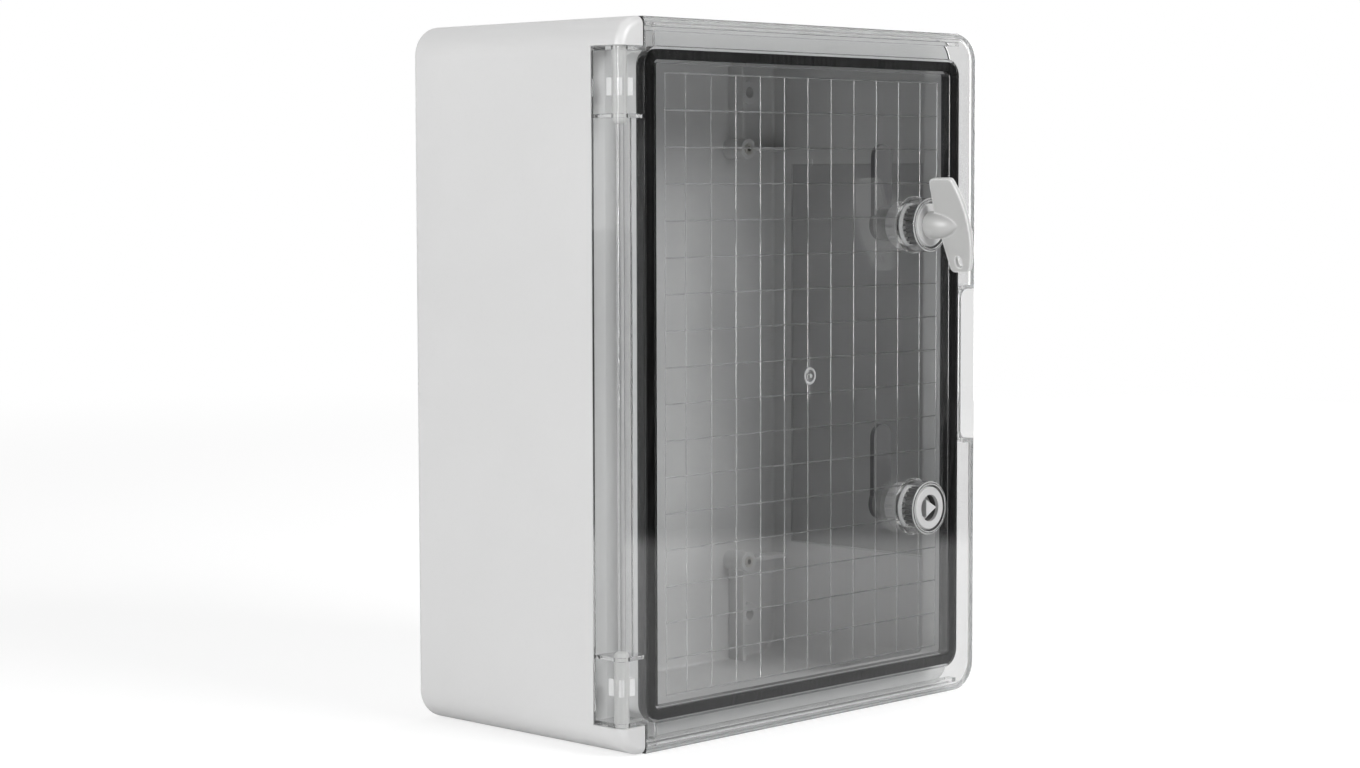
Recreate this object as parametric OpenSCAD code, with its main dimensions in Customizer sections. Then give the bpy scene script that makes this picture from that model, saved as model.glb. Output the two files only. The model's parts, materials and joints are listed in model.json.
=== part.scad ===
// Wall-mounted insulating enclosure for direct-current string combining.
// Opaque tub, clear hinged door with a moulded grid, continuous foam seal,
// two quarter-turn triangle locks and their loose key.
//
// Frame: origin at the centre of the rear mounting face, +X to the right seen
// from the front, +Y out of the rear face (the door faces -Y), +Z up.
// Inside the modules lengths are counted from the lower left front corner.

/* [Enclosure] */
// Outer width
box_w = 304; // [280:1:360]
// Outer height
box_h = 400; // [360:1:520]
// Outer depth, door included
box_d = 170; // [140:1:240]
// Side wall thickness of the tub
wall_t = 3.2; // [2.6:0.1:4]
// Rear wall thickness of the tub
back_t = 3.5; // [3:0.1:5]
// Radius of the four long corners
corner_r = 17; // [15:0.5:20]
// Radius of the rear and front edges
edge_r = 5; // [2.5:0.5:6]
// Thickness of the shoulder behind the door
shoulder_t = 3; // [2.5:0.1:4]

/* [Door] */
// Thickness of the clear panel and of the door's side walls
door_t = 3; // [2.5:0.1:3.5]
// Depth of the door tray
door_d = 21.5; // [20:0.5:23]
// Gap between the door and the tub
door_gap = 0.5; // [0.4:0.1:1]
// Radius along the front edge of the door
door_edge_r = 2; // [1.5:0.5:5]
// Width of the grey hinge blocks at the left corners
ear_w = 17.8; // [16:0.1:18]
// Height of the grey hinge blocks
ear_h = 16; // [14:0.5:18]
// Pitch of the drilling grid
grid_pitch = 20; // [10:5:40]
// Width of a grid line
grid_w = 0.5; // [0.3:0.1:1]
// Height of a grid line above the panel's inner face
grid_t = 0.25; // [0.2:0.05:0.4]
// Length of the finger pull
pull_l = 92; // [60:2:120]
// Depth of the finger pull from the right edge
pull_d = 12.5; // [10:0.5:13]

/* [Hinge] */
// Hinge axis from the left face and from the front face
hinge_inset = 6; // [5.5:0.1:6.5]
// Diameter of the hinge pins
pin_d = 6; // [5:0.1:6]
// Radial clearance of a pin in its grey block
pin_gap = 0.075; // [0.02:0.005:0.1]
// Length of a pin outside its grey block
pin_l = 42; // [36:1:50]

/* [Seal] */
// Width of the foam seal
seal_w = 5.5; // [5:0.1:6.5]
// Depth of the foam seal
seal_t = 8; // [7:0.5:9]
// Seal inset from the left face
seal_left = 21.8; // [21.6:0.1:24]
// Seal inset from the right face
seal_right = 17; // [16.5:0.1:17.2]
// Seal inset from the top and bottom faces
seal_end = 17.3; // [17:0.1:19]
// Thickness of the sealing rim on the tub
rim_t = 2.6; // [2:0.1:3]

/* [Locks] */
// Lock axis from the right face
lock_inset = 59; // [56:1:70]
// Distance between the two lock axes
lock_span = 168.5; // [120:0.5:220]
// Height of the lock pair's middle above the box's middle
lock_rise = 1.2; // [-10:0.1:10]
// Outer diameter of the clear collar round a lock
collar_d = 32; // [31:0.5:36]
// Height of the collar in front of the panel
collar_h = 13; // [11:0.5:15]
// Diameter of the lock's front flange
flange_d = 25.2; // [24:0.2:25.6]
// Diameter of the lock barrel
barrel_d = 19.8; // [18:0.2:20]
// Outer diameter of the round nut behind the door
nut_d = 28; // [27:0.2:30]
// Length of the round nut
nut_l = 9.6; // [5:0.2:16]
// Diameter of the key recess
recess_d = 16; // [15.8:0.1:16.4]
// Side of the triangular stud
stud_side = 10.4; // [8:0.2:10.6]
// Reach of the cam from its axis
cam_l = 48; // [44:0.5:50]
// Width of the cam
cam_w = 16; // [14:0.5:18]
// Thickness of the cam
cam_t = 3; // [2:0.5:3]

/* [Key] */
// Length of the key's wing
key_l = 58; // [40:1:60]
// Thickness of the key's wing
key_t = 3.3; // [2.5:0.1:4]
// Length of the blunt boss that carries the wing
boss_l = 19.4; // [14:0.2:20]
// Lean of the wing from vertical
key_lean = 18; // [0:1:30]

/* [Fixings] */
// Spacing of the wall holes across the width
wall_span_x = 236; // [200:1:240]
// Spacing of the wall holes up the height
wall_span_z = 336; // [300:1:340]
// Diameter of the wall holes
wall_hole_d = 7; // [5:0.5:8]
// Spacing of the threaded bosses across the width
boss_span_x = 216; // [180:1:220]
// Spacing of the threaded bosses up the height
boss_span_z = 264; // [220:1:280]

/* [Hidden] */
$fn = 96;

over = 1;                               // overrun of cutters and of clipping blocks
mid_x = box_w / 2;
mid_z = box_h / 2;
front_y = door_d + door_gap;            // front face of the shoulder
inner_y = front_y + shoulder_t;         // rear face of the shoulder
back_y = box_d - back_t;                // inner face of the rear wall
swing_r = norm([hinge_inset, door_d - hinge_inset]) + 0.48;  // hollow the door edge turns in
pin_r = pin_d / 2;
seal_y = door_t + seal_t;               // rear face of the seal
seal_r = 9;                             // outer corner radius of the seal

tub_grey = [0.84, 0.84, 0.84];
clear_pc = [0.80, 0.83, 0.85, 0.35];
seal_black = [0.12, 0.12, 0.12];
nylon_white = [0.93, 0.93, 0.92];
key_grey = [0.80, 0.80, 0.80];
zinc = [0.36, 0.36, 0.37];
nickel = [0.72, 0.71, 0.68];
rubber_black = [0.15, 0.15, 0.16];
silicone = [0.86, 0.86, 0.86];

// ---------- helpers ----------

// From the lower left front corner to the frame's origin
module placed() translate([-mid_x, -box_d, -mid_z]) children();

// 2-D shape in X and Z, drawn out from y0 to y1
module along_y(y0, y1)
  translate([0, y1, 0]) rotate([90, 0, 0]) linear_extrude(y1 - y0) children();

// 2-D shape in Y and Z, drawn out from x0 to x1
module along_x(x0, x1)
  translate([x0, 0, 0]) rotate([90, 0, 90]) linear_extrude(x1 - x0) children();

// Box between two opposite corners
module block(low, high) translate(low) cube(high - low);

module rounded_rect(x0, z0, x1, z1, r) {
  translate([x0 + r, z0]) square([x1 - x0 - 2 * r, z1 - z0]);
  translate([x0, z0 + r]) square([x1 - x0, z1 - z0 - 2 * r]);
  for (x = [x0 + r, x1 - r], z = [z0 + r, z1 - r]) translate([x, z]) circle(r);
}

// Outline of the box, moved inwards
module box_outline(inset)
  rounded_rect(inset, inset, box_w - inset, box_h - inset, corner_r - inset);

// Outer outline of the seal, moved inwards
module seal_outline(inset, r)
  rounded_rect(seal_left + inset, seal_end + inset,
    box_w - seal_right - inset, box_h - seal_end - inset, r);

// Closed band whose outer edge is the seal outline, moved inwards
module seal_band(inset, r, width)
  difference() {
    seal_outline(inset, r);
    seal_outline(inset + width, r - width);
  }

// Rectangle from the axis out to x1, its two outer corners rounded
module half_profile(x1, y0, y1, front_r, rear_r) {
  translate([0, y0 + front_r]) square([x1, y1 - y0 - front_r - rear_r]);
  // radius, start of the rounded strip, centre of the rounding
  for (end = [[front_r, y0, y0 + front_r], [rear_r, y1 - rear_r, y1 - rear_r]]) {
    r = end[0];
    if (r > 0) {
      translate([0, end[1]]) square([x1 - r, r]);
      intersection() {
        translate([x1 - r, end[2]]) circle(r);
        translate([x1 - r, end[1]]) square([r, r]);
      }
    }
  }
}

// Slab with the box outline moved inwards, its front and rear edges rounded
module slab(inset, y0, y1, front_r = 0, rear_r = 0) {
  low = corner_r;                       // centres of the long corners
  right = box_w - corner_r;
  top = box_h - corner_r;
  corners = [[right, top], [low, top], [low, low], [right, low]];
  module profile() half_profile(corner_r - inset, y0, y1, front_r, rear_r);

  block([low, y0, low], [right, y1, top]);
  // right and left
  translate([right, 0, low]) linear_extrude(top - low) profile();
  translate([low, 0, low]) mirror([1, 0, 0]) linear_extrude(top - low) profile();
  // top and bottom
  along_x(low, right) translate([0, top]) mirror([1, -1, 0]) profile();
  along_x(low, right) translate([0, low]) mirror([0, 1, 0]) mirror([1, -1, 0]) profile();
  for (i = [0:3])
    translate([corners[i][0], 0, corners[i][1]])
      rotate([-90, 0, 0]) rotate([0, 0, -90 - 90 * i])
        rotate_extrude(angle = 90) profile();
}

// Four places about the middle; local z runs towards the rear wall
module at_corners(span_x, span_z, y)
  for (x = [mid_x - span_x / 2, mid_x + span_x / 2], z = [mid_z - span_z / 2, mid_z + span_z / 2])
    translate([x, y, z]) rotate([-90, 0, 0]) children();

module at_hinge(z = 0) translate([hinge_inset, hinge_inset, z]) children();

// Turned over, from the foot to the head of the box
module at_head() translate([0, 0, box_h]) mirror([0, 0, 1]) children();

module both_ends() {
  children();
  at_head() children();
}

// ---------- tub ----------

boss_y = back_y - 16.5;                 // front end of the threaded bosses
wall_boss_y = back_y - 8;               // front end of the wall bosses
boss_end = box_d - 1;                   // bosses end inside the rear wall
web_half = 1.3;                         // half the thickness of a web
web_y = boss_y + 4;
rim_y = seal_y + 0.1;                   // front edge of the sealing rim
rim_inset = (seal_w - rim_t) / 2;
rim_r = 7.6;
backing_inset = 1.5;                    // hollow's wall, kept inside the outer skin
backing_w = 40;
field_depth = 0.8;                      // cable-entry field
field_y = 41;
field_half_h = 122;
insert_r = 2.79;
insert_l = 12;

// Wall behind the hollow that the door's hinge edge turns in
module hollow_backing()
  intersection() {
    at_hinge() cylinder(h = box_h, r = swing_r + wall_t);
    along_y(front_y + 0.5, inner_y + 8) difference() {
      box_outline(backing_inset);
      translate([backing_w, -over]) square([box_w, box_h + 2 * over]);
    }
  }

module hinge_blocks()
  both_ends() intersection() {
    slab(0, 0, inner_y, front_r = edge_r);
    block([-over, -over, -over], [ear_w, inner_y + over, ear_h]);
  }

// Webs from the threaded bosses to the end and side walls
module boss_webs()
  both_ends() for (side = [-1, 1]) {
    x = mid_x + side * boss_span_x / 2;
    z = mid_z - boss_span_z / 2;
    wall_x = mid_x + side * (box_w - wall_t) / 2;
    block([x - web_half, web_y, wall_t / 2], [x + web_half, back_y + 1, z]);
    block([min(x, wall_x), web_y, z - web_half], [max(x, wall_x), back_y + 1, z + web_half]);
  }

module body() color(tub_grey) placed() difference() {
  union() {
    difference() {
      slab(0, front_y, box_d, rear_r = edge_r);
      slab(wall_t, inner_y, back_y, rear_r = 2);
    }
    hollow_backing();
    // sealing rim
    along_y(rim_y, inner_y) seal_outline(rim_inset, rim_r);
    hinge_blocks();
    // threaded bosses and wall bosses
    at_corners(boss_span_x, boss_span_z, boss_y) cylinder(h = boss_end - boss_y, r = 6.5);
    at_corners(wall_span_x, wall_span_z, wall_boss_y)
      cylinder(h = boss_end - wall_boss_y, r = 7.5);
    boss_webs();
  }
  // opening inside the sealing rim
  along_y(rim_y - over, inner_y + 0.01) seal_outline(rim_inset + rim_t, rim_r - rim_t);
  // hollow the hinge edge of the door turns in
  at_hinge(ear_h) cylinder(h = box_h - 2 * ear_h, r = swing_r);
  // pin bores
  both_ends() at_hinge(ear_h - 7) cylinder(h = 7 + over, r = pin_r + pin_gap);
  // wall holes and insert bores
  at_corners(wall_span_x, wall_span_z, wall_boss_y - over) cylinder(h = 40, r = wall_hole_d / 2);
  at_corners(boss_span_x, boss_span_z, boss_y - over) cylinder(h = 14.2, r = insert_r + 0.01);
  // thinned cable-entry field inside each side wall
  for (x = [wall_t - field_depth, box_w - wall_t - 0.1])
    block([x, field_y, mid_z - field_half_h],
      [x + field_depth + 0.1, back_y - 16.5, mid_z + field_half_h]);
}

// Threaded inserts, each with a thin flange at its front end
module boss_inserts() color(nickel) placed()
  at_corners(boss_span_x, boss_span_z, boss_y) difference() {
    union() {
      cylinder(h = insert_l, r = insert_r);
      translate([0, 0, -0.5]) cylinder(h = 0.5, r = 3.6);
    }
    translate([0, 0, -over]) cylinder(h = insert_l + 2 * over, r = 1.65);
  }

// ---------- door ----------

rib_root = door_t - 0.5;                // ribs start inside the panel
rib_y = 9;                              // rear edge of the stiffening ribs
channel_y = 8.5;                        // rear edge of the seal channel
channel_outer_t = 1.6;
channel_inner_t = 1.8;
end_rib_inset = 5.3;
end_rib_t = 2.2;
slim_rib_end = 53.5;                    // slim rib's ends from the foot and the head
grid_half_w = mid_x - 36;
grid_half_h = mid_z - 30;
grid_clear = 2;                         // no grid line this close to the grid's frame
grid_steps = 12;                        // most lines looked at on either side
pull_r = 6;
pull_wall_t = 2;
pull_run = 40;                          // carries the pull past the right face
ear_gap = 0.4;                          // between a hinge block and the door
ear_wall_x = ear_w + 3.6;               // right face of the wall beside a hinge block
ear_wall_z = ear_h + ear_gap + 2;       // its end towards the middle of the box

// Finger pull, from its left edge out past the right face
module pull_area(grow = 0) {
  left = box_w - pull_d - grow;
  half = pull_l / 2 + grow;
  translate([left, mid_z - half + pull_r]) square([pull_run, 2 * (half - pull_r)]);
  translate([left + pull_r, mid_z - half]) square([pull_run, 2 * half]);
  for (z = [mid_z - half + pull_r, mid_z + half - pull_r])
    translate([left + pull_r, z]) circle(pull_r);
}

// Room behind the finger pull's lip
module pull_room() along_y(door_t, door_d + over) pull_area();

module door_slab() slab(0, 0, door_d, front_r = door_edge_r);

module door_shell() {
  difference() {
    door_slab();
    slab(door_t, door_t, door_d + over, front_r = 1.5);
    pull_room();
  }
  // wall of the finger pull
  difference() {
    along_y(1, door_d) intersection() {
      pull_area(pull_wall_t);
      box_outline(0);
    }
    pull_room();
    block([box_w - 1, -over, 0], [box_w + 50, door_edge_r + 1, box_h]);
  }
}

// Raised lines and their frame on the panel's inner face
module drilling_grid() {
  line_y = door_t + grid_t;
  half_line = grid_w / 2;
  for (i = [-grid_steps:grid_steps]) {
    x = i * grid_pitch;
    z = (i + 0.5) * grid_pitch;
    if (abs(x) < grid_half_w - grid_clear)
      block([mid_x + x - half_line, rib_root, mid_z - grid_half_h],
        [mid_x + x + half_line, line_y, mid_z + grid_half_h]);
    if (abs(z) < grid_half_h - grid_clear)
      block([mid_x - grid_half_w, rib_root, mid_z + z - half_line],
        [mid_x + grid_half_w, line_y, mid_z + z + half_line]);
  }
  along_y(rib_root, line_y) translate([mid_x - grid_half_w, mid_z - grid_half_h]) difference() {
    translate([-half_line, -half_line])
      square([2 * grid_half_w + grid_w, 2 * grid_half_h + grid_w]);
    translate([half_line, half_line])
      square([2 * grid_half_w - grid_w, 2 * grid_half_h - grid_w]);
  }
}

module door_ribs() {
  // seal channel
  along_y(rib_root, channel_y) {
    seal_band(-channel_outer_t, seal_r + channel_outer_t, channel_outer_t);
    seal_band(seal_w, seal_r - seal_w, channel_inner_t);
  }
  // stiffening rib inside the end walls
  along_y(rib_root, rib_y) difference() {
    box_outline(end_rib_inset);
    box_outline(end_rib_inset + end_rib_t);
    translate([-over, -over]) square([21 + over, box_h + 2 * over]);
    translate([box_w - 16, -over]) square([30, box_h + 2 * over]);
  }
  // slim rib beside the hinge pins
  block([9.4, rib_root, slim_rib_end], [10.6, rib_y, box_h - slim_rib_end]);
}

// Details at the foot, repeated at the head
module door_end_details() {
  // walls that close the tray beside and along the inner end of the hinge block
  intersection() {
    door_slab();
    block([ear_w - 1, 0, -over], [ear_wall_x, door_d, ear_wall_z]);
  }
  block([1, 1, ear_h + ear_gap], [ear_wall_x, door_d, ear_wall_z]);
  // pin web
  intersection() {
    at_hinge() cylinder(h = 80, r = swing_r - 0.5);
    block([1, 1, 52.5], [seal_left - 0.5, door_d, 54.5]);
  }
  // upright rib in the end band
  block([26.7, 1, 1.5], [28, rib_y, seal_end - 1]);
}

// Gate mark at the middle of the front face and ejector mark above it
module door_marks() {
  translate([mid_x, 0, mid_z]) rotate([90, 0, 0]) {
    difference() {
      translate([0, 0, -0.5]) cylinder(h = 0.85, r = 4.8);
      cylinder(h = 2, r = 3.6);
    }
    translate([0, 0, -0.5]) cylinder(h = 1.5, r1 = 1.5, r2 = 1.1);
  }
  translate([mid_x, 0.4, mid_z + 122]) rotate([90, 0, 0]) cylinder(h = 0.55, r = 2.2);
}

module door() color(clear_pc) placed() difference() {
  union() {
    door_shell();
    door_ribs();
    drilling_grid();
    both_ends() door_end_details();
    for (z = [lock_high, lock_low]) at_lock(z) collar();
    door_marks();
  }
  both_ends() {
    // room for the hinge block, wider behind the front lip
    block([-over, -over, -over], [ear_w + 0.7, door_d + over, ear_h + ear_gap]);
    block([-over, 1.2, -over], [ear_w + 1.6, door_d + over, ear_h + ear_gap]);
    // pin hole in the web
    at_hinge(ear_h) cylinder(h = 40, r = pin_r + 0.05);
  }
  // barrel holes
  for (z = [lock_high, lock_low]) at_lock(z)
    translate([0, 0, -door_t - 2]) cylinder(h = door_t + 3, r = barrel_hole_r);
}

module door_gasket() color(seal_black) placed() {
  side_gap = 0.02;                      // to the walls of the channel
  along_y(door_t, seal_y) seal_band(side_gap, seal_r, seal_w - 2 * side_gap);
}

// Pin with a rounded free tip and a square grip, drawn at the foot of the box
module hinge_pin() {
  sunk = 6.5;                           // length inside the hinge block
  straight = pin_l + sunk - pin_r;
  at_hinge(ear_h - sunk) rotate_extrude() {
    square([pin_r, straight]);
    intersection() {
      translate([0, straight]) circle(pin_r);
      translate([0, straight]) square(pin_d);
    }
  }
  block([hinge_inset - 2.5, hinge_inset - 2.5, 33.2], [hinge_inset + 6, hinge_inset + 6, 42.7]);
}

module hinge_pin_lower() color(nylon_white) placed() hinge_pin();
module hinge_pin_upper() color(nylon_white) placed() at_head() hinge_pin();

// ---------- locks ----------
// Profile points are [radius, height]; height 0 is the door's front face and
// grows out of the door.

lock_x = box_w - lock_inset;
lock_high = mid_z + lock_rise + lock_span / 2;
lock_low = mid_z + lock_rise - lock_span / 2;
collar_r = collar_d / 2;
flange_r = flange_d / 2;
flange_round = 0.7;
barrel_r = barrel_d / 2;
barrel_hole_r = barrel_r + 0.2;
nut_r = nut_d / 2;
nut_front = -3.45;
recess_r = recess_d / 2;
recess_floor = 4;
stud_r = stud_side / sqrt(3);           // circumscribed radius of the triangle
spindle_r = 6;
cam_front = -(inner_y + 0.6);
cam_rear = cam_front - cam_t;
cam_square = 8;                         // side of the spindle's square end

// Lock axis: local z runs out of the door, local y runs up
module at_lock(z) translate([lock_x, 0, z]) rotate([90, 0, 0]) children();

// Clear collar, part of the door
module collar()
  difference() {
    rotate_extrude() {
      polygon([
        [10, -door_t], [16.2, -door_t], [collar_r + 1.2, 0], [collar_r, 1.4],
        [collar_r, collar_h - 1], [collar_r - 1, collar_h - 1], [collar_r - 1, collar_h],
        [14.1, collar_h], [13.1, collar_h - 1], [13.1, 0], [10, 0]]);
      translate([collar_r - 1, collar_h - 1]) circle(1);
    }
    translate([0, 0, -door_t - over]) cylinder(h = 50, r = barrel_hole_r);
  }

// Flanged barrel with fins round its front part
module lock_housing()
  difference() {
    union() {
      rotate_extrude() {
        polygon([
          [5, collar_h], [flange_r - flange_round, collar_h],
          [flange_r - flange_round, collar_h - flange_round],
          [flange_r, collar_h - flange_round], [flange_r, collar_h - 2.2],
          [barrel_r, collar_h - 2.2], [barrel_r, 2.4], [12.4, 2.4], [12.4, 1.2],
          [barrel_r, 1.2], [barrel_r, cam_front + 0.3], [5, cam_front + 0.3]]);
        translate([flange_r - flange_round, collar_h - flange_round]) circle(flange_round);
      }
      for (a = [0:15:345]) rotate([0, 0, a])
        translate([barrel_r - 0.5, -0.45, 2.0]) cube([2.7, 0.9, collar_h - 4]);
    }
    // key recess and spindle bore
    translate([0, 0, recess_floor]) cylinder(h = 20, r = recess_r);
    translate([0, 0, cam_front - 5]) cylinder(h = 40, r = spindle_r + 0.05);
  }

// Spindle with a triangular stud in front, a ring groove and a square rear end
module lock_spindle()
  difference() {
    union() {
      rotate_extrude() polygon([
        [0, 7], [recess_r - 0.35, 7], [recess_r - 0.05, 6.7],
        [recess_r - 0.05, recess_floor + 0.05], [spindle_r, recess_floor + 0.05],
        [spindle_r, -6], [4.1, -6], [4.1, -8.5], [spindle_r, -8.5],
        [spindle_r, cam_front + 0.15], [0, cam_front + 0.15]]);
      translate([0, 0, 6.5]) cylinder(h = collar_h - 6.7, r = stud_r, $fn = 3);
      translate([-cam_square / 2, -cam_square / 2, cam_rear + 0.1])
        cube([cam_square, cam_square, cam_t + 1]);
    }
    // screw hole
    translate([0, 0, cam_rear - over]) cylinder(h = 16, r = 2.5);
  }

// Ring in the spindle's groove
module spindle_ring()
  translate([0, 0, -7.25]) rotate_extrude() translate([5.08, 0]) circle(0.92);

// Flat ring between the door and the housing
module lock_seal()
  difference() {
    translate([0, 0, 0.02]) cylinder(h = 1.16, r = 12.6);
    translate([0, 0, -over]) cylinder(h = 4, r = barrel_r + 0.1);
  }

// Round nut, its grip broken by shallow flutes; heights are from its rear face
module lock_nut()
  translate([0, 0, nut_front - nut_l]) difference() {
    rotate_extrude() polygon([
      [barrel_r + 0.03, 0.8], [barrel_r + 0.7, 0], [nut_r - 1, 0], [nut_r, 1],
      [nut_r, nut_l - 0.6], [nut_r - 0.6, nut_l], [barrel_r + 0.03, nut_l]]);
    for (a = [0:30:330]) rotate([0, 0, a])
      translate([nut_r + 1.3, 0, -over]) cylinder(h = nut_l - 2, r = 2, $fn = 32);
  }

module lock_cam() {
  hole = cam_square + 0.12;
  straight = cam_l - cam_w / 2;
  translate([0, 0, cam_rear]) linear_extrude(cam_t) difference() {
    union() {
      circle(9.5);
      translate([-cam_w / 2, 0]) square([cam_w, straight]);
      translate([0, straight]) circle(cam_w / 2);
    }
    translate([-hole / 2, -hole / 2]) square(hole);
  }
}

module cam_washer()
  translate([0, 0, cam_rear - 1.25]) difference() {
    cylinder(h = 1.2, r = 7.5);
    translate([0, 0, -over]) cylinder(h = 4, r = 2.65);
  }

// Cross-slotted screw with a domed head
module cam_screw() {
  head_r = 4.6;
  translate([0, 0, cam_rear - 1.3]) difference() {
    union() {
      rotate_extrude() {
        translate([0, -2.2]) square([head_r, 2.2]);
        intersection() {
          translate([0, 5.55]) circle(9);
          translate([0, -3.5]) square([head_r, 2]);
        }
      }
      translate([0, 0, -0.5]) cylinder(h = 13, r = 2.45);
    }
    for (a = [0, 90]) rotate([0, 0, a]) translate([-2.4, -0.5, -4.5]) cube([4.8, 1, 2.8]);
  }
}

module lock_housing_upper() color(nylon_white) placed() at_lock(lock_high) lock_housing();
module lock_housing_lower() color(nylon_white) placed() at_lock(lock_low) lock_housing();
module lock_seal_upper() color(silicone) placed() at_lock(lock_high) lock_seal();
module lock_seal_lower() color(silicone) placed() at_lock(lock_low) lock_seal();
module lock_nut_upper() color(key_grey) placed() at_lock(lock_high) lock_nut();
module lock_nut_lower() color(key_grey) placed() at_lock(lock_low) lock_nut();
module lock_spindle_upper() color(key_grey) placed() at_lock(lock_high) lock_spindle();
module lock_spindle_lower() color(key_grey) placed() at_lock(lock_low) lock_spindle();
module spindle_ring_upper() color(rubber_black) placed() at_lock(lock_high) spindle_ring();
module spindle_ring_lower() color(rubber_black) placed() at_lock(lock_low) spindle_ring();
module lock_cam_upper() color(zinc) placed() at_lock(lock_high) lock_cam();
module lock_cam_lower() color(zinc) placed() at_lock(lock_low) lock_cam();
module cam_washer_upper() color(zinc) placed() at_lock(lock_high) cam_washer();
module cam_washer_lower() color(zinc) placed() at_lock(lock_low) cam_washer();
module cam_screw_upper() color(zinc) placed() at_lock(lock_high) cam_screw();
module cam_screw_lower() color(zinc) placed() at_lock(lock_low) cam_screw();

// ---------- key ----------

key_boss_r = 8.3;
key_boss_z = collar_h + 1.6;            // where the boss starts to taper

// Points of an arc from angle a to angle b
function arc(centre, r, a, b, steps) =
  [for (i = [0:steps]) let (t = a + (b - a) * i / steps) centre + r * [cos(t), sin(t)]];

// Wing outline: the first coordinate runs along the wing, the second out of the door
module key_wing() {
  half = key_l / 2;
  top = 42;                             // outermost point of the bow
  side = 35.5;                          // height of the bow at the wing's ends
  bow_r = (half * half + pow(top - side, 2)) / (2 * (top - side));
  tip_r = 3;                            // radius of the wing's four corners
  end_x = half - tip_r;
  spread = asin(end_x / (bow_r - tip_r));
  tip_z = top - bow_r + (bow_r - tip_r) * cos(spread);
  trim = spread / 14;                   // keeps the bow's points off the corners' points
  slot_x = -half + 6.5;
  slot_z = 29.6;
  slot_r = 2.25;
  slot_half = 1.25;                     // half the distance between the slot's end centres
  difference() {
    polygon(concat(
      [[8, 18.4]],
      arc([end_x, 19 + tip_r], tip_r, -80, 0, 6),
      arc([end_x, tip_z], tip_r, 0, 90 - spread, 6),
      arc([0, top - bow_r], bow_r, 90 - spread + trim, 90 + spread - trim, 26),
      arc([-end_x, tip_z], tip_r, 90 + spread, 180, 6),
      arc([-end_x, 22.2 + tip_r], tip_r, 180, 260, 6),
      [[-8, 20]]));
    // slot for a key ring
    for (shift = [-slot_half, slot_half]) translate([slot_x + shift, slot_z]) circle(slot_r);
    translate([slot_x - slot_half, slot_z - slot_r]) square([2 * slot_half, 2 * slot_r]);
  }
}

module key() color(key_grey) placed() at_lock(lock_high) difference() {
  union() {
    rotate([0, 0, key_lean]) rotate([90, 0, 90])
      translate([0, 0, -key_t / 2]) linear_extrude(key_t) key_wing();
    // blunt boss that carries the wing
    rotate_extrude() polygon(concat(
      [[0, collar_h + 0.1], [key_boss_r, collar_h + 0.1]],
      [for (t = [0:0.1:0.95])
        [key_boss_r * pow(1 - pow(t, 1.9), 0.62), key_boss_z + boss_l * t]],
      [[1.6, key_boss_z + boss_l], [0, key_boss_z + boss_l]]));
    // plug that fills the recess
    translate([0, 0, 7.3]) cylinder(h = 7, r = recess_r - 0.3);
  }
  // triangular socket
  translate([0, 0, 5]) cylinder(h = collar_h - 4.6, r = stud_r + 0.25, $fn = 3);
}

body();
boss_inserts();
door();
door_gasket();
hinge_pin_upper();
hinge_pin_lower();
lock_housing_upper();
lock_housing_lower();
lock_seal_upper();
lock_seal_lower();
lock_nut_upper();
lock_nut_lower();
lock_spindle_upper();
lock_spindle_lower();
spindle_ring_upper();
spindle_ring_lower();
lock_cam_upper();
lock_cam_lower();
cam_washer_upper();
cam_washer_lower();
cam_screw_upper();
cam_screw_lower();
key();
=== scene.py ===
"""Enclosure: a light grey tub closed by a clear hinged door, with two locks and a key.

It stands upright along Z. The door faces -Y, and its hinge side is at -X.
The CAD pieces get procedural materials, and the key is rebuilt with softened edges.
"""
import json
import math

import bmesh
import bpy
from mathutils import Matrix, Vector


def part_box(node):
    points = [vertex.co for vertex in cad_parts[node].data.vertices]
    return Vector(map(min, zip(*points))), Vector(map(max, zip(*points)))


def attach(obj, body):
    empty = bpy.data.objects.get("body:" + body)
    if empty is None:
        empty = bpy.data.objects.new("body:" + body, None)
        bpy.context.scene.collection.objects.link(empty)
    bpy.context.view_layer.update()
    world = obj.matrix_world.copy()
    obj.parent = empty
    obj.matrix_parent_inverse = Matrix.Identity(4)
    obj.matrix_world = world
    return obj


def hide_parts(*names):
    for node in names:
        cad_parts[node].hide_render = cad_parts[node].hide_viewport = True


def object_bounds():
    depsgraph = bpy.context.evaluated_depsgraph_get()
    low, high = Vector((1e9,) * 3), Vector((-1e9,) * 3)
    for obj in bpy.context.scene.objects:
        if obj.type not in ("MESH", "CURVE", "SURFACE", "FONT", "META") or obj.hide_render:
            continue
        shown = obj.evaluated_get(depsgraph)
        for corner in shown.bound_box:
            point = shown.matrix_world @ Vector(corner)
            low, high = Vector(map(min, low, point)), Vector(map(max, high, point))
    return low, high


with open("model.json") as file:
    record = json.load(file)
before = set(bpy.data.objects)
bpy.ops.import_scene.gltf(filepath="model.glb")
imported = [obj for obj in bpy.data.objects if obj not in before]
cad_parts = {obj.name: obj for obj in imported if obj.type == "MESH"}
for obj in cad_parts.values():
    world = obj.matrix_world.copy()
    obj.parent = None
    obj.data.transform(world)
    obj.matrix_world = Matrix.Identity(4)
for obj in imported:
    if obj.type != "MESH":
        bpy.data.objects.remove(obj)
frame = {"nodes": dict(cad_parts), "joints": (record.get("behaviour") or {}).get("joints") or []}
nodes = frame["nodes"]
scene = bpy.context.scene


def plain_bounds():
    return [[float(c) for c in corner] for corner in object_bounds()]


CAD_BOX = plain_bounds()

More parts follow.
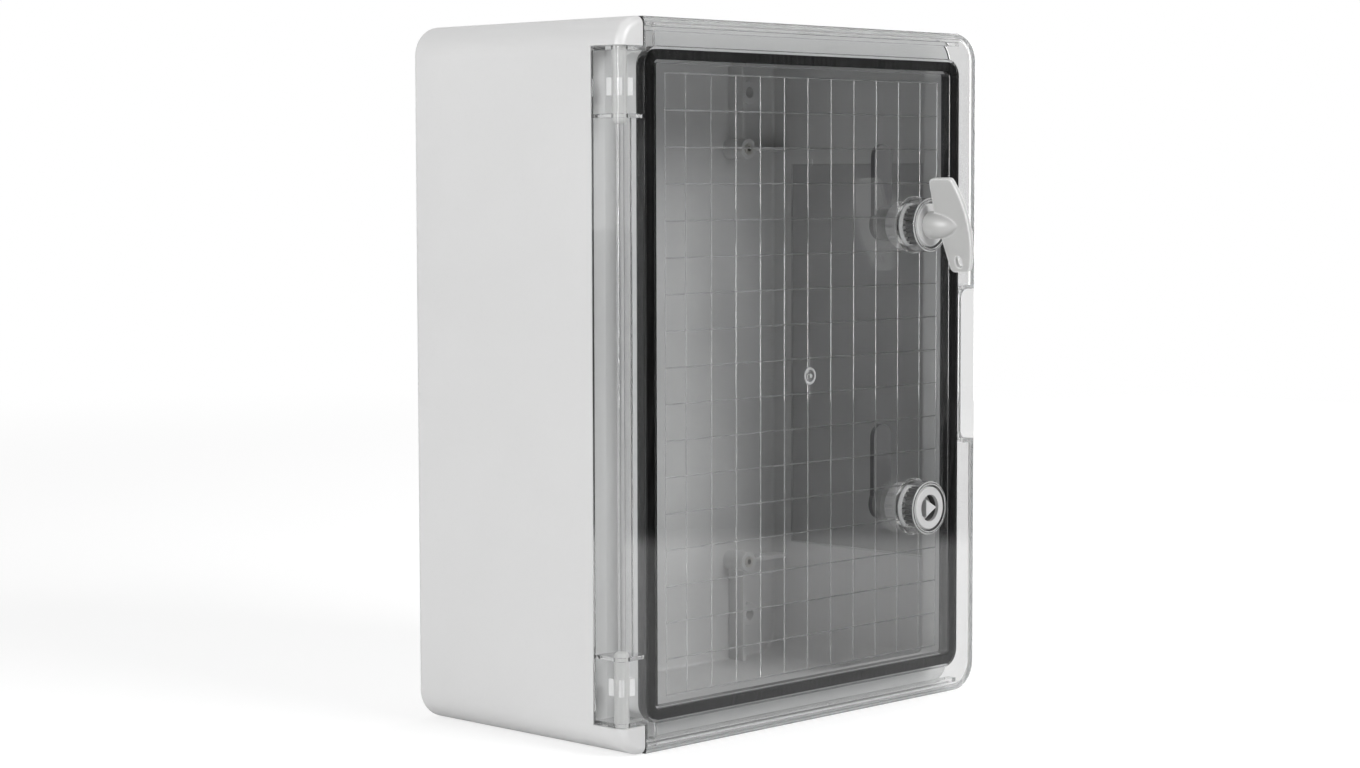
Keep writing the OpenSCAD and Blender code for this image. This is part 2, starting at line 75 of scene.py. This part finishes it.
# ------------------------------------------------------------------ places, in metres
DOOR_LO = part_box("door")[0]
GASKET_LO, GASKET_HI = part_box("door_gasket")
BODY_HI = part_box("body")[1]
HOUSING_LO, HOUSING_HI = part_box("lock_housing_lower")
UPPER_LO, UPPER_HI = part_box("lock_housing_upper")
SEAL_LO, SEAL_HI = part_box("lock_seal_lower")
LOWER_LOCK = (HOUSING_LO + HOUSING_HI) / 2
UPPER_LOCK_Z = (UPPER_LO.z + UPPER_HI.z) / 2
HINGE = next(j for j in frame["joints"] if j["name"] == "door_hinge")["pos_m"]

PANEL_INNER_Y = GASKET_LO.y             # inner face of the door panel
PANEL_OUTER_Y = PANEL_INNER_Y - 0.0025  # forward of this lies the panel's outer skin
DOOR_WALL_X = DOOR_LO.x + 0.0035        # inside of the door's hinge-side wall
GRID_SKIN = (0.00004, 0.0005)           # height of the grid lines above the inner face
GRID_HALF_X, GRID_HALF_Z = 0.1175, 0.1715

FOAM_WIDTH, FOAM_DEPTH, FOAM_CORNER = 0.0055, 0.00545, 0.009

KEY_SWING_R = 0.0242                    # radius of the wear round the lower lock
KEY_SWING_ANGLES = (-0.15, 1.95)        # radians from +X towards +Z
COLLAR_HIGHLIGHT_RINGS = ((0.01405, 0.01455), (0.01535, 0.0159))  # inner and outer radius
COLLAR_DEPTH = 0.0022
GATE_RING, GATE_DOT_R = (0.0035, 0.0049), 0.0013
GATE_STREAK_HALF_X, GATE_STREAK_HALF_Z = 0.0005, 0.013

# thinned fields in the tub's two side walls, as ranges of |x| and y, and a limit of |z|
FIELD_X = (BODY_HI.x - 0.0034, BODY_HI.x - 0.0022)
FIELD_Y = (-0.1295, -0.0195)
FIELD_HALF_Z = 0.1225
HINGE_PIN_R = 0.0033


# ------------------------------------------------------------------ node graphs
def grey(tone):
    """A colour from a single grey, or from red, green and blue with or without alpha."""
    if isinstance(tone, (int, float)):
        return (tone, tone, tone, 1.0)
    return tuple(tone) if len(tone) == 4 else (*tone, 1.0)


def scaled(colour, factor):
    return tuple(c * factor for c in colour)


WHITE = grey(1.0)


class Graph:
    """Short names for building a node tree."""

    def __init__(self, tree):
        self.tree = tree

    def node(self, kind, inputs=None, **settings):
        made = self.tree.nodes.new(kind)
        for name, value in settings.items():
            setattr(made, name, value)
        for key, value in (inputs or {}).items():
            self.put(made.inputs[key], value)
        return made

    def put(self, socket, value):
        if isinstance(value, bpy.types.NodeSocket):
            self.tree.links.new(value, socket)
        else:
            socket.default_value = value

    def math(self, operation, a, b=0.0, c=None, clamp=False):
        inputs = {0: a, 1: b}
        if c is not None:
            inputs[2] = c
        made = self.node("ShaderNodeMath", inputs, operation=operation, use_clamp=clamp)
        return made.outputs[0]

    def add(self, a, b, clamp=False):
        return self.math("ADD", a, b, clamp=clamp)

    def sub(self, a, b, clamp=False):
        return self.math("SUBTRACT", a, b, clamp=clamp)

    def mul(self, a, b, clamp=False):
        return self.math("MULTIPLY", a, b, clamp=clamp)

    def larger(self, a, b):
        return self.math("MAXIMUM", a, b)

    def size(self, a):
        return self.math("ABSOLUTE", a)

    def above(self, value, limit):
        return self.math("GREATER_THAN", value, limit)

    def below(self, value, limit):
        return self.math("LESS_THAN", value, limit)

    def between(self, value, low, high):
        return self.mul(self.above(value, low), self.below(value, high))

    def length(self, a, b):
        return self.math("SQRT", self.add(self.mul(a, a), self.mul(b, b)))

    def fade(self, value, start, end, low=0.0, high=1.0):
        """Eased grey ramp from low at start to high at end."""
        made = self.node("ShaderNodeValToRGB", {0: value})
        made.color_ramp.interpolation = "EASE"
        stops = made.color_ramp.elements
        stops.remove(stops[-1])
        stops[0].position = start
        stops[0].color = grey(low)
        stops.new(end).color = grey(high)
        return made.outputs[0]

    def smoothstep(self, value, start, end, low=0.0, high=1.0):
        made = self.node("ShaderNodeMapRange", {0: value, 1: start, 2: end, 3: low, 4: high},
                         interpolation_type="SMOOTHSTEP")
        return made.outputs[0]

    def mix(self, factor, a, b, blend="MIX"):
        """Mix two colours, each a socket or anything grey() takes."""
        made = self.node("ShaderNodeMix", {0: factor}, data_type="RGBA", blend_type=blend)
        for slot, colour in ((6, a), (7, b)):
            is_socket = isinstance(colour, bpy.types.NodeSocket)
            self.put(made.inputs[slot], colour if is_socket else grey(colour))
        return made.outputs[2]

    def separate(self, vector):
        return self.node("ShaderNodeSeparateXYZ", {0: vector}).outputs

    def position(self):
        """X, Y and Z of the point in the object's own frame."""
        return self.separate(self.node("ShaderNodeTexCoord").outputs["Object"])

    def mapped(self, scale=(1, 1, 1), rotation=(0, 0, 0)):
        point = self.node("ShaderNodeTexCoord").outputs["Object"]
        return self.node("ShaderNodeMapping", {
            "Vector": point, "Scale": scale, "Rotation": rotation}).outputs[0]

    def noise(self, scale, detail=3.0, rough=0.5, vector=None, distortion=0.0):
        return self.node("ShaderNodeTexNoise", {
            "Scale": scale, "Detail": detail, "Roughness": rough, "Distortion": distortion,
            "Vector": self.mapped() if vector is None else vector}).outputs["Fac"]

    def voronoi(self, scale):
        inputs = {"Scale": scale, "Vector": self.mapped()}
        return self.node("ShaderNodeTexVoronoi", inputs).outputs

    def bump(self, height, normal, strength, distance):
        return self.node("ShaderNodeBump", {
            "Strength": strength, "Distance": distance, "Height": height,
            "Normal": normal}).outputs[0]

    def bevel(self, radius, samples=4):
        return self.node("ShaderNodeBevel", {"Radius": radius}, samples=samples).outputs[0]

    def edge_mask(self, radius, gain):
        """1 on a sharp edge, 0 on a flat: how far the rounded normal leans from the true one."""
        normal = self.node("ShaderNodeNewGeometry").outputs["Normal"]
        lean = self.node("ShaderNodeVectorMath", {0: self.bevel(radius), 1: normal},
                         operation="DOT_PRODUCT").outputs["Value"]
        return self.mul(self.sub(1.0, lean), gain, clamp=True)

    def shader(self, kind, inputs):
        return self.node("ShaderNode" + kind, inputs).outputs[0]

    def mix_shader(self, factor, a, b):
        return self.shader("MixShader", {0: factor, 1: a, 2: b})

    def glow(self, kind, strength):
        """White light of a kind, Emission or Background."""
        return self.shader(kind, {"Color": WHITE, "Strength": strength})

    def ahead(self, vector):
        """1 where a ray runs on in the camera's own direction, 0 where it is turned back."""
        turned = self.node("ShaderNodeVectorTransform", {0: vector}, vector_type="VECTOR",
                           convert_from="WORLD", convert_to="CAMERA").outputs[0]
        return self.smoothstep(self.separate(turned)["Z"], start=0.55, end=0.75)

    def seen(self, rays, direction):
        """Camera rays, also where they have passed straight through the clear door."""
        through = self.mul(rays["Is Transmission Ray"], self.ahead(direction))
        return self.larger(rays["Is Camera Ray"], through)

    def surface(self, shader, kind="Material"):
        self.node("ShaderNodeOutput" + kind, {"Surface": shader})


def new_material(name):
    material = bpy.data.materials.new(name)
    material.use_nodes = True
    material.node_tree.nodes.clear()
    return material, Graph(material.node_tree)


def reopen(material):
    """The graph of a moulding, its base colour socket and the socket that feeds it."""
    tree = material.node_tree
    principled = next(n for n in tree.nodes if n.type == "BSDF_PRINCIPLED")
    target = principled.inputs["Base Color"]
    return Graph(tree), target, target.links[0].from_socket


# ------------------------------------------------------------------ moulded plastics
def moulded(name, base, rough, grain, round_r, wear_and_edge_highlight, grain_depth=0.00001, vary=0.03, sss=0.0):
    """Moulded plastic: spark-eroded grain, cloudy colour, scuffs, and edges painted a little
    paler as a painted highlight.
    """
    material, g = new_material(name)
    cloud = g.fade(g.noise(scale=7.0, detail=4.0, rough=0.55), start=0.3, end=0.7)
    speck = g.fade(g.noise(scale=420.0, detail=2.0), start=0.60, end=0.72)
    colour = g.mix(cloud, scaled(base, 1 - vary), scaled(base, 1 + vary))
    colour = g.mix(g.mul(speck, 0.05), colour, scaled(base, 0.72))
    # the edges are mixed toward white: a painted highlight on rounded edges
    edge_highlight = g.edge_mask(radius=round_r * 1.6, gain=3.0)
    colour = g.mix(g.mul(edge_highlight, wear_and_edge_highlight), colour, WHITE)

    # roughness wanders about its mean and rises on long fine scuffs
    stretched = g.mapped(scale=(1.0, 6.0, 14.0), rotation=(0.3, 0.1, 0.5))
    scuff = g.noise(scale=60.0, detail=5.0, rough=0.7, vector=stretched)
    wander = g.mul(g.noise(scale=28.0, detail=5.0, rough=0.6), 0.10)
    scuffed = g.mul(g.fade(scuff, start=0.55, end=0.75), 0.06)
    roughness = g.add(g.add(rough - 0.05, wander), scuffed, clamp=True)

    # rounded edges, then grain, then slow waviness
    normal = g.bevel(round_r, samples=6)
    normal = g.bump(g.noise(scale=grain, rough=0.6), normal,
                    strength=0.55, distance=grain_depth)
    normal = g.bump(g.noise(scale=16.0, detail=2.0), normal, strength=0.25, distance=0.0004)
    inputs = {"Base Color": colour, "Roughness": roughness, "Normal": normal,
              "Specular IOR Level": 0.5, "IOR": 1.5}
    if sss:
        inputs |= {"Subsurface Weight": sss, "Subsurface Radius": (0.002, 0.002, 0.002),
                   "Subsurface Scale": 1.0}
    g.surface(g.shader("BsdfPrincipled", inputs))
    return material


def paint_field_shade(material):
    """Darken the thinned fields inside the tub's side walls: painted shade."""
    g, target, colour = reopen(material)
    point = g.position()
    inside = g.between(g.size(point["X"]), *FIELD_X)
    deep = g.between(point["Y"], *FIELD_Y)
    tall = g.below(g.size(point["Z"]), FIELD_HALF_Z)
    field_shade = g.mul(g.mul(inside, deep), tall)
    g.put(target, g.mix(field_shade, colour, g.mix(1.0, colour, 0.72, blend="MULTIPLY")))
    return material


def zoned(material, *zones):
    """Recolour from front to rear: each zone is where it starts along Y, and its grey."""
    g, target, colour = reopen(material)
    y = g.position()["Y"]
    cloud = g.noise(scale=240.0)
    for start, tone in zones:
        cloudy = g.mix(cloud, tone * 0.88, tone * 1.12)
        colour = g.mix(g.above(y, start), colour, cloudy)
    g.put(target, colour)
    return material


def gripped(material, tone):
    """Recolour the square grip that stands out from the upright hinge pin."""
    g, target, colour = reopen(material)
    point = g.position()
    out = g.length(g.sub(point["X"], HINGE[0]), g.sub(point["Y"], HINGE[1]))
    g.put(target, g.mix(g.above(out, HINGE_PIN_R), colour, tone))
    return material


def rim_highlighted(material, radius, gain, amount):
    """Lighten the rounded rim of a moulding: a painted highlight."""
    g, target, colour = reopen(material)
    g.put(target, g.mix(g.mul(g.edge_mask(radius, gain), amount), colour, 0.95))
    return material


# ------------------------------------------------------------------ foam, rubber and metal
def foam_material():
    material, g = new_material("mat_seal_foam")
    cells = g.voronoi(scale=900.0)["Distance"]
    skin = g.noise(scale=160.0, detail=5.0, rough=0.65)
    flecks = g.fade(g.noise(scale=900.0, detail=2.0), start=0.62, end=0.75)
    colour = g.mix(g.mul(flecks, 0.35), g.mix(skin, 0.012, 0.034), 0.10)
    normal = g.bevel(0.0009, samples=6)
    normal = g.bump(cells, normal, strength=0.5, distance=0.00025)
    normal = g.bump(skin, normal, strength=0.5, distance=0.0004)
    g.surface(g.shader("BsdfPrincipled", {
        "Base Color": colour, "Roughness": g.add(0.62, g.mul(skin, 0.25)),
        "Normal": normal, "Specular IOR Level": 0.35, "Sheen Weight": 0.15}))
    return material


def rubber_material():
    material, g = new_material("mat_ring_rubber")
    normal = g.bump(g.noise(scale=1800.0, rough=0.6), g.bevel(0.0002),
                    strength=0.4, distance=0.00003)
    g.surface(g.shader("BsdfPrincipled", {
        "Base Color": g.mix(g.noise(scale=90.0), 0.018, 0.04),
        "Roughness": g.add(0.5, g.mul(g.noise(scale=200.0), 0.2)), "Normal": normal}))
    return material


def metal_material(name, base, rough, brush_scale, spangle=0.0, metallic=1.0):
    """Brushed metal with cloudy colour; spangle is the strength of its crystal pattern."""
    material, g = new_material(name)
    brush = g.noise(scale=700.0, detail=4.0, rough=0.6, vector=g.mapped(brush_scale))
    cloud = g.noise(scale=120.0, detail=4.0, rough=0.6)
    colour = g.mix(cloud, scaled(base, 0.86), base)
    if spangle:
        crystals = g.voronoi(scale=900.0)["Color"]
        colour = g.mix(g.mul(crystals, spangle), colour, scaled(base, 0.7))
    g.surface(g.shader("BsdfPrincipled", {
        "Base Color": colour, "Roughness": g.add(rough, g.mul(brush, 0.18)),
        "Normal": g.bump(brush, g.bevel(0.00025), strength=0.25, distance=0.00003),
        "Metallic": metallic}))
    return material


# ------------------------------------------------------------------ clear door
def grid_lines(g, x, y, z):
    """Drilling grid, found by its height above the panel's inner face."""
    skin = g.between(y, *(PANEL_INNER_Y + height for height in GRID_SKIN))
    field = g.mul(g.below(g.size(x), GRID_HALF_X), g.below(g.size(z), GRID_HALF_Z))
    return g.mul(skin, field)


def key_wear(g, from_lock_x, from_lock_z, y):
    """Arc worn by the key's wing as it swings round the lower lock."""
    radius = g.length(from_lock_x, from_lock_z)
    angle = g.math("ARCTAN2", from_lock_z, from_lock_x)
    # noise stretched round the lock: coarse along the arc, fine across it
    polar = g.node("ShaderNodeCombineXYZ", {
        0: g.mul(angle, 9.0), 1: g.mul(radius, 2600.0), 2: 0.0}).outputs[0]
    lines = g.fade(g.noise(scale=1.0, detail=4.0, rough=0.7, vector=polar),
                   start=0.55, end=0.66)
    falloff = 480.0  # per metre away from the arc
    off_arc = g.size(g.sub(radius, KEY_SWING_R))
    ring = g.sub(1.0, g.mul(off_arc, falloff), clamp=True)
    swept = g.mul(g.between(angle, *KEY_SWING_ANGLES), g.below(y, PANEL_OUTER_Y))
    return g.mul(g.mul(ring, lines), swept)


def collar_ring_highlights(g, from_lock_x, y, z):
    """Two rings on the front edge of each lock collar, where a highlight is painted."""
    from_lower = g.size(g.sub(z, LOWER_LOCK.z))
    from_upper = g.size(g.sub(z, UPPER_LOCK_Z))
    radius = g.length(from_lock_x, g.math("MINIMUM", from_lower, from_upper))
    highlight_rings = g.larger(*(g.between(radius, *ring) for ring in COLLAR_HIGHLIGHT_RINGS))
    return g.mul(highlight_rings, g.below(y, HOUSING_LO.y + COLLAR_DEPTH))


def gate_blush(g, x, y, z):
    """Blushed plastic round the gate at the panel's centre: a ring, a dot and a streak."""
    radius = g.length(x, z)
    streak = g.mul(g.between(x, -GATE_STREAK_HALF_X, GATE_STREAK_HALF_X),
                   g.below(g.size(z), GATE_STREAK_HALF_Z))
    spot = g.larger(g.between(radius, *GATE_RING), g.below(radius, GATE_DOT_R))
    return g.mul(g.larger(spot, g.mul(streak, 0.6)), g.below(y, PANEL_OUTER_Y))


def foam_contact(g, x, y, z):
    """Plastic touched by the foam: a band inside the gasket's rounded outline."""
    half_x = (GASKET_HI.x - GASKET_LO.x) / 2
    half_z = (GASKET_HI.z - GASKET_LO.z) / 2
    from_x = g.sub(x, (GASKET_HI.x + GASKET_LO.x) / 2)
    from_z = g.sub(z, (GASKET_HI.z + GASKET_LO.z) / 2)
    # signed distance from the outline, negative inside
    past_x = g.sub(g.size(from_x), half_x - FOAM_CORNER)
    past_z = g.sub(g.size(from_z), half_z - FOAM_CORNER)
    outside = g.length(g.larger(past_x, 0.0), g.larger(past_z, 0.0))
    inside = g.math("MINIMUM", g.larger(past_x, past_z), 0.0)
    distance = g.sub(g.add(outside, inside), FOAM_CORNER)
    # the small allowances take in the channel's own faces
    return g.mul(g.between(distance, -FOAM_WIDTH - 0.00004, 0.00008),
                 g.between(y, PANEL_INNER_Y - 0.00005, PANEL_INNER_Y + FOAM_DEPTH))


def clear_material():
    """Clear polycarbonate. Camera and mirror rays refract; lighting rays pass with a small loss.

    The drilling grid has a frosted skin, and the foam in its channel wets the plastic black.
    """
    material, g = new_material("mat_door_clear")
    point = g.position()
    x, y, z = point["X"], point["Y"], point["Z"]

    # slow mould waviness and fine handling scratches
    normal = g.bump(g.noise(scale=5.0, detail=1.0), g.bevel(0.0004, samples=6),
                    strength=0.012, distance=0.0004)
    stretched = g.mapped(scale=(1.0, 1.0, 0.02), rotation=(0, 0.25, 0))
    scratch = g.fade(g.noise(scale=900.0, rough=0.6, vector=stretched), start=0.68, end=0.78)
    normal = g.bump(scratch, normal, strength=0.12, distance=0.00001)
    smudge = g.fade(g.noise(scale=14.0, detail=5.0, rough=0.65, distortion=0.6),
                    start=0.45, end=0.75)

    def across():
        """About 0 to 1 from left to right over the door."""
        return g.math("MULTIPLY_ADD", x, 4.0, 0.5)

    # the hinge-side wall is seen through its length, so it is darker
    line = grid_lines(g, x, y, z)
    tint = g.mix(g.below(x, DOOR_WALL_X), 0.945, 0.885)
    # the grid lines are painted darker towards the right of the door: painted shade across it
    line_shade_across = g.fade(across(), start=0.30, end=0.58, low=0.92, high=0.62)
    glass = g.shader("BsdfGlass", {
        "Color": g.mix(line, tint, line_shade_across), "IOR": 1.585, "Normal": normal,
        "Roughness": g.add(0.008, g.mul(smudge, 0.025))})

    # a thin haze of smudges and key wear
    from_lock_x, from_lock_z = g.sub(x, LOWER_LOCK.x), g.sub(z, LOWER_LOCK.z)
    wear_and_edge_highlight = key_wear(g, from_lock_x, from_lock_z, y)
    haze = g.add(g.add(0.0015, g.mul(smudge, 0.006)), g.mul(wear_and_edge_highlight, 0.28))
    film = g.mix_shader(haze, glass, g.shader("BsdfDiffuse", {"Color": grey(0.8)}))

    # frosting on the grid and the gate, and painted highlights on the collar rings
    white_frost_and_highlight = g.mix_shader(0.5, g.shader("BsdfTranslucent", {"Color": grey(0.9)}),
                         g.shader("BsdfDiffuse", {"Color": grey(0.9)}))
    # the grid's frost is painted whiter towards the left of the door: real frost with a painted
    # highlight across it
    line_frost_and_light_across = g.fade(across(), start=0.30, end=0.55, low=0.14, high=0.05)
    ring_highlight = g.mul(collar_ring_highlights(g, from_lock_x, y, z), 0.55)
    blush = g.mul(gate_blush(g, x, y, z), 0.42)
    frost_and_highlight = g.add(g.mul(line, line_frost_and_light_across), g.larger(ring_highlight, blush))
    frosted_and_highlit = g.mix_shader(frost_and_highlight, film, white_frost_and_highlight)

    foam_colour = g.mix(g.noise(scale=160.0, detail=5.0, rough=0.65), 0.010, 0.026)
    solid = g.mix_shader(foam_contact(g, x, y, z), frosted_and_highlit,
                         g.shader("BsdfDiffuse", {"Color": foam_colour}))
    rays = g.node("ShaderNodeLightPath").outputs
    lighting = g.larger(rays["Is Shadow Ray"], rays["Is Diffuse Ray"])
    passing = g.shader("BsdfTransparent", {"Color": (0.955, 0.96, 0.96, 1)})
    g.surface(g.mix_shader(lighting, solid, passing))
    return material


# ------------------------------------------------------------------ materials on the CAD nodes
def make_materials():
    tub = paint_field_shade(moulded("mat_tub", (0.56, 0.56, 0.56), rough=0.36, grain=1500.0,
                                grain_depth=0.000008, round_r=0.0006, vary=0.012, wear_and_edge_highlight=0.10))
    clear = clear_material()
    foam = foam_material()
    rubber = rubber_material()
    nylon = moulded("mat_nylon_white", (0.50, 0.50, 0.495), rough=0.34, grain=2600,
                    round_r=0.0004, sss=0.1, wear_and_edge_highlight=0.1)
    lock = moulded("mat_lock_white", (0.48, 0.48, 0.48), rough=0.38, grain=2400,
                   round_r=0.0003, wear_and_edge_highlight=0.15)
    nut = moulded("mat_nut_grey", (0.36, 0.36, 0.36), rough=0.42, grain=2400,
                  round_r=0.0004, wear_and_edge_highlight=0.2)
    seal = moulded("mat_seal_silicone", (0.66, 0.66, 0.66), rough=0.55, grain=1800,
                   round_r=0.0002, sss=0.1, wear_and_edge_highlight=0.05)
    spindle = moulded("mat_spindle_grey", (0.50, 0.50, 0.50), rough=0.40, grain=2400,
                      round_r=0.0003, wear_and_edge_highlight=0.2)
    zinc = metal_material("mat_dark_zinc", (0.13, 0.13, 0.132), rough=0.42,
                          brush_scale=(60, 1, 1), spangle=0.25, metallic=0.2)
    nickel = metal_material("mat_insert_nickel", (0.60, 0.585, 0.55), rough=0.30,
                            brush_scale=(1, 60, 1))
    key = moulded("mat_key_grey", (0.45, 0.45, 0.445), rough=0.36, grain=2200,
                  round_r=0.0006, wear_and_edge_highlight=0.0, vary=0.02)
    return {
        "tub": tub, "clear": clear, "foam": foam, "rubber": rubber,
        "nylon": gripped(nylon, tone=0.82),
        # the housing is painted near black from just behind its front flange, light grey just
        # ahead of the seal and dark grey behind the seal
        "lock": zoned(lock, (HOUSING_LO.y + 0.0023, 0.05), (SEAL_LO.y - 0.0014, 0.62),
                      (SEAL_HI.y, 0.20)),
        "nut": nut, "seal": seal,
        # the spindle behind its front is painted a little darker: painted shade in the lock's
        # recess
        "spindle": zoned(spindle, (HOUSING_LO.y + 0.0045, 0.46)),
        "zinc": zinc, "nickel": nickel,
        # the key's rounded rim gets a painted highlight
        "key": rim_highlighted(key, radius=0.0016, gain=10.0, amount=0.75),
    }


# CAD node and its material; the second table is for nodes that end in upper or lower
SINGLE_PARTS = {"body": "tub", "boss_inserts": "nickel", "door": "clear",
                "door_gasket": "foam"}
PAIRED_PARTS = {
    "hinge_pin_": "nylon", "lock_housing_": "lock", "lock_seal_": "seal",
    "lock_nut_": "nut", "lock_spindle_": "spindle", "spindle_ring_": "rubber",
    "lock_cam_": "zinc", "cam_washer_": "zinc", "cam_screw_": "zinc",
}


def dress(name, material):
    mesh = nodes[name].data
    mesh.materials.clear()
    mesh.materials.append(material)
    for polygon in mesh.polygons:
        polygon.material_index = 0


materials = make_materials()
for part, look in SINGLE_PARTS.items():
    dress(part, materials[look])
for end in ("upper", "lower"):
    for part, look in PAIRED_PARTS.items():
        dress(part + end, materials[look])
dress("key", materials["key"])


# ------------------------------------------------------------------ moulded key
def soften_key(material, voxel, smoothing):
    """The key's solid again, with softened edges and fillets."""
    key = bpy.data.objects.new("key_moulded", nodes["key"].data.copy())
    scene.collection.objects.link(key)
    bm = bmesh.new()
    bm.from_mesh(key.data)
    bmesh.ops.remove_doubles(bm, verts=bm.verts, dist=1e-6)
    bm.to_mesh(key.data)
    bm.free()

    remesh = key.modifiers.new("remesh", "REMESH")
    remesh.mode = "VOXEL"
    remesh.voxel_size = voxel
    remesh.adaptivity = 0.0
    smooth = key.modifiers.new("smooth", "CORRECTIVE_SMOOTH")
    smooth.factor = 0.5
    smooth.iterations = smoothing
    smooth.smooth_type = "SIMPLE"
    smooth.use_only_smooth = True
    depsgraph = bpy.context.evaluated_depsgraph_get()
    mesh = bpy.data.meshes.new_from_object(key.evaluated_get(depsgraph))
    key.modifiers.clear()
    key.data = mesh

    for polygon in mesh.polygons:
        polygon.use_smooth = True
        polygon.material_index = 0
    mesh.materials.clear()
    mesh.materials.append(material)
    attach(key, "key")
    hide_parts("key")


soften_key(materials["key"], voxel=0.00025, smoothing=9)


# ------------------------------------------------------------------ floor
def floor_material():
    """White floor that looks different to the camera, to mirrors and to lighting rays."""
    material, g = new_material("mat_floor")
    plain = g.shader("BsdfPrincipled", {
        "Base Color": g.mix(g.noise(scale=3.0), 0.90, 0.93), "Roughness": 0.75,
        "Specular IOR Level": 0.1})
    geometry = g.node("ShaderNodeNewGeometry").outputs

    # to the camera it keeps a soft shadow near the box and runs out into the white backdrop
    distance = g.node("ShaderNodeVectorMath", {0: geometry["Position"]},
                      operation="LENGTH").outputs["Value"]
    far = g.smoothstep(distance, start=0.5, end=2.6)
    near = g.shader("AddShader", {0: g.shader("BsdfDiffuse", {"Color": grey(0.36)}),
                                  1: g.glow("Emission", strength=0.70)})
    backdrop = g.mix_shader(far, near, g.glow("Emission", strength=1.0))

    # mirrored in the door it ends a little way out, like a table top, with a dark room beyond
    place = g.separate(geometry["Position"])
    out_by = g.add(g.mul(place["X"], 0.715), g.mul(place["Y"], -0.70))
    table = g.smoothstep(out_by, start=0.86, end=1.02, low=1.0, high=0.0)
    mirrored = g.mix_shader(g.mul(table, 0.8), g.glow("Emission", strength=0.025), plain)

    rays = g.node("ShaderNodeLightPath").outputs
    bounced = g.larger(rays["Is Glossy Ray"], rays["Is Transmission Ray"])
    unseen = g.mix_shader(bounced, plain, mirrored)
    onward = g.node("ShaderNodeVectorMath", {0: geometry["Incoming"], 1: (-1, -1, -1)},
                    operation="MULTIPLY").outputs[0]
    g.surface(g.mix_shader(g.seen(rays, onward), unseen, backdrop))
    return material


def make_floor(half_size, gap):
    """Square floor, a small gap below the lowest point."""
    floor = bpy.data.objects.new("floor", bpy.data.meshes.new("floor"))
    scene.collection.objects.link(floor)
    bm = bmesh.new()
    bmesh.ops.create_grid(bm, x_segments=8, y_segments=8, size=half_size)
    bm.to_mesh(floor.data)
    bm.free()
    floor.location = (0, 0, CAD_BOX[0][2] - gap)
    floor.data.materials.append(floor_material())


# ------------------------------------------------------------------ world, lights and camera
def make_world():
    """White backdrop for the camera, a studio for mirrors and a dim fill for lighting."""
    world = bpy.data.worlds.new("studio")
    scene.world = world
    world.use_nodes = True
    world.node_tree.nodes.clear()
    g = Graph(world.node_tree)
    direction = g.node("ShaderNodeTexCoord").outputs["Generated"]
    along = g.separate(direction)

    # white panels to the left, overhead and behind, a dark room in front to the right
    left = g.smoothstep(along["X"], start=0.05, end=-0.75, high=0.85)
    over = g.smoothstep(along["Z"], start=0.25, end=0.80, high=0.75)
    rear = g.smoothstep(along["Y"], start=0.10, end=0.80, high=0.80)
    dark_room = 0.03
    room = g.larger(g.larger(left, over), g.larger(rear, dark_room))

    rays = g.node("ShaderNodeLightPath").outputs
    unseen = g.mix_shader(rays["Is Diffuse Ray"], g.glow("Background", strength=room),
                          g.glow("Background", strength=0.07))
    backdrop = g.glow("Background", strength=1.0)
    g.surface(g.mix_shader(g.seen(rays, direction), unseen, backdrop), kind="World")


def area_light(name, place, target, width, power, height=None):
    light = bpy.data.lights.new(name, "AREA")
    light.energy = power
    light.shape = "RECTANGLE"
    light.size = width
    light.size_y = height or width
    lamp = bpy.data.objects.new(name, light)
    scene.collection.objects.link(lamp)
    lamp.location = place
    aim = Vector(target) - Vector(place)
    lamp.rotation_euler = aim.to_track_quat("-Z", "Y").to_euler()


def make_camera(place, yaw, pitch, roll, lens):
    """Camera by its angles in degrees; yaw turns from +Y towards +X."""
    data = bpy.data.cameras.new("camera")
    data.sensor_fit = "HORIZONTAL"
    data.sensor_width = 36.0
    data.lens = lens
    data.clip_start = 0.05
    data.clip_end = 60.0
    camera = bpy.data.objects.new("camera", data)
    scene.collection.objects.link(camera)
    yaw, pitch, roll = math.radians(yaw), math.radians(pitch), math.radians(roll)
    forward = Vector((math.cos(pitch) * math.sin(yaw), math.cos(pitch) * math.cos(yaw),
                      math.sin(pitch)))
    level_right = Vector((math.cos(yaw), -math.sin(yaw), 0))
    level_up = Vector((-math.sin(pitch) * math.sin(yaw), -math.sin(pitch) * math.cos(yaw),
                       math.cos(pitch)))
    right = math.cos(roll) * level_right + math.sin(roll) * level_up
    up = -math.sin(roll) * level_right + math.cos(roll) * level_up
    rows = [(right[i], up[i], -forward[i], place[i]) for i in range(3)]
    camera.matrix_world = Matrix((*rows, (0, 0, 0, 1)))
    scene.camera = camera


def set_render():
    view = scene.view_settings
    view.view_transform = "Standard"
    view.look = "None"
    view.exposure = 0.0
    view.gamma = 1.0
    cycles = scene.cycles
    cycles.max_bounces = 16
    cycles.transmission_bounces = 16
    cycles.transparent_max_bounces = 32
    cycles.diffuse_bounces = 5
    cycles.glossy_bounces = 6
    cycles.caustics_refractive = False
    cycles.caustics_reflective = False
    cycles.sample_clamp_indirect = 4.0
    cycles.use_denoising = True
    cycles.denoiser = "OPENIMAGEDENOISE"
    cycles.seed = 7


low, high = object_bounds()
centre = (Vector(low) + Vector(high)) / 2
make_floor(half_size=12.0, gap=0.0005)
make_world()
area_light("key_front", (0.40, -2.30, 1.20), centre, width=1.2, power=55)
area_light("fill_left", (-2.4, -0.15, 0.45), centre, width=0.5, power=52, height=2.0)
area_light("rim_right", (2.2, 0.35, 0.5), centre, width=1.5, power=34)
area_light("top_soft", (0.1, 0.5, 2.3), centre, width=1.8, power=14)
make_camera((-1.1952, -1.2354, 0.1109), yaw=45.620, pitch=-4.126, roll=-0.126, lens=73.98)
set_render()
